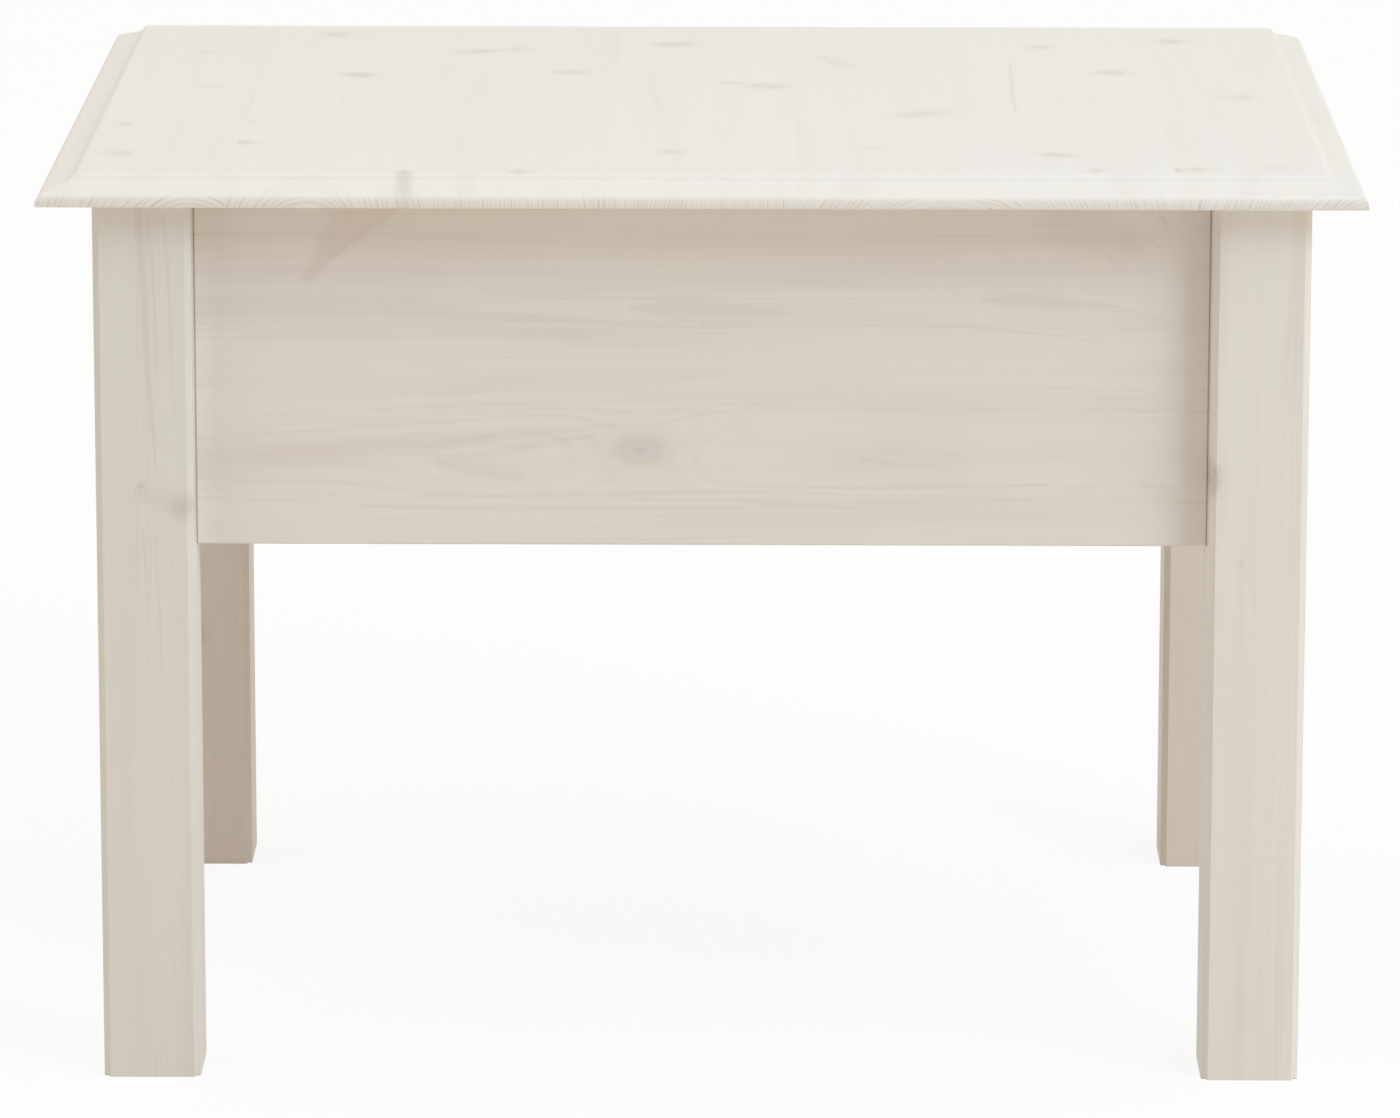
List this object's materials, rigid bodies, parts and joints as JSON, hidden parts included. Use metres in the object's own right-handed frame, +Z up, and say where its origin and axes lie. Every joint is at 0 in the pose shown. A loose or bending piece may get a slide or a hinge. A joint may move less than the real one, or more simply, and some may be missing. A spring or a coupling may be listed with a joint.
{
  "type": "coffee table",
  "caption": "Low solid-pine coffee table with a moulded edge-glued top, square chamfered legs and deep plain aprons.",
  "frame": {"origin": "on the floor, under the middle of the table top", "axes": "+X to the right along the longer side, +Y from the front to the back, +Z up"},
  "size_m": [0.7, 0.55, 0.495],
  "materials": {
    "top_wood": "pine under a thin white glaze, satin",
    "leg_wood": "pine under a thin white glaze, satin, grain upright",
    "apron_wood": "pine under a thin white glaze, satin, grain level",
    "raw_pine": "planed pine with no finish",
    "beech": "turned beech with no finish",
    "zinc_steel": "zinc-plated steel, dull"
  },
  "bodies": {
    "root": {"top_board_1": "top_wood", "top_board_2": "top_wood", "top_board_3": "top_wood", "top_board_4": "top_wood", "top_board_5": "top_wood", "top_board_6": "top_wood", "top_board_7": "top_wood", "leg_front_left": "leg_wood", "leg_front_right": "leg_wood", "leg_rear_left": "leg_wood", "leg_rear_right": "leg_wood", "apron_front": "apron_wood", "apron_rear": "apron_wood", "apron_left": "apron_wood", "apron_right": "apron_wood", "corner_block_front_left": "raw_pine", "corner_block_front_right": "raw_pine", "corner_block_rear_left": "raw_pine", "corner_block_rear_right": "raw_pine", "cleat_front": "raw_pine", "cleat_rear": "raw_pine", "dowels": "beech", "hanger_bolts": "zinc_steel", "washers": "zinc_steel", "nuts": "zinc_steel", "block_screws": "zinc_steel", "cleat_screws": "zinc_steel", "top_screws": "zinc_steel"}
  },
  "joints": []
}
